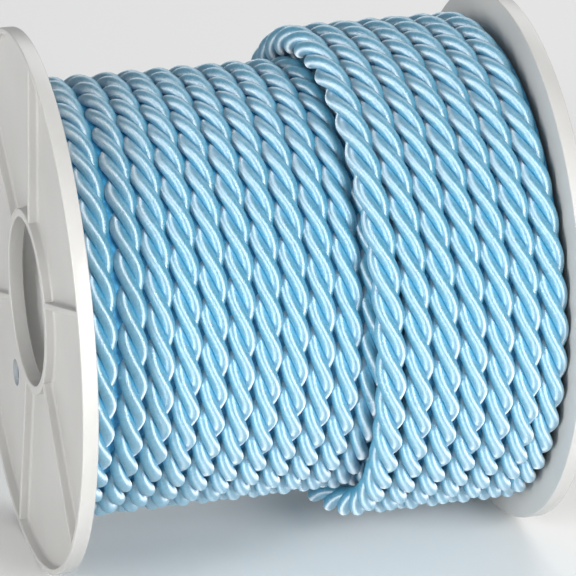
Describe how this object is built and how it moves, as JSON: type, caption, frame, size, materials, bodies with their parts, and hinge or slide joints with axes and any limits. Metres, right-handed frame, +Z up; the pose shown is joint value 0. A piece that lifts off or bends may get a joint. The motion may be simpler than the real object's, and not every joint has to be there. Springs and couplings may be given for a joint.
{
  "type": "twisted cord on a flanged plastic spool",
  "caption": "Light blue satin rope-twist trimming cord wound in stepped layers on a white plastic spool with ribbed flanges and an open arbor bore.",
  "frame": {"origin": "on the resting surface, under the middle of the spool, between the two flanges' rims", "axes": "+X along the spool's axis toward the end with the doubled layer of cord, +Z up, and the front at -Y"},
  "size_m": [0.0826, 0.089, 0.0887],
  "materials": {
    "spool_plastic": "warm white moulded plastic with a soft gloss",
    "satin_cord": "light sky blue satin yarn, three strands twisted"
  },
  "bodies": {
    "root": {"left_flange": "spool_plastic", "right_flange": "spool_plastic", "spool_barrel": "spool_plastic", "wound_cord": "satin_cord"}
  },
  "joints": []
}
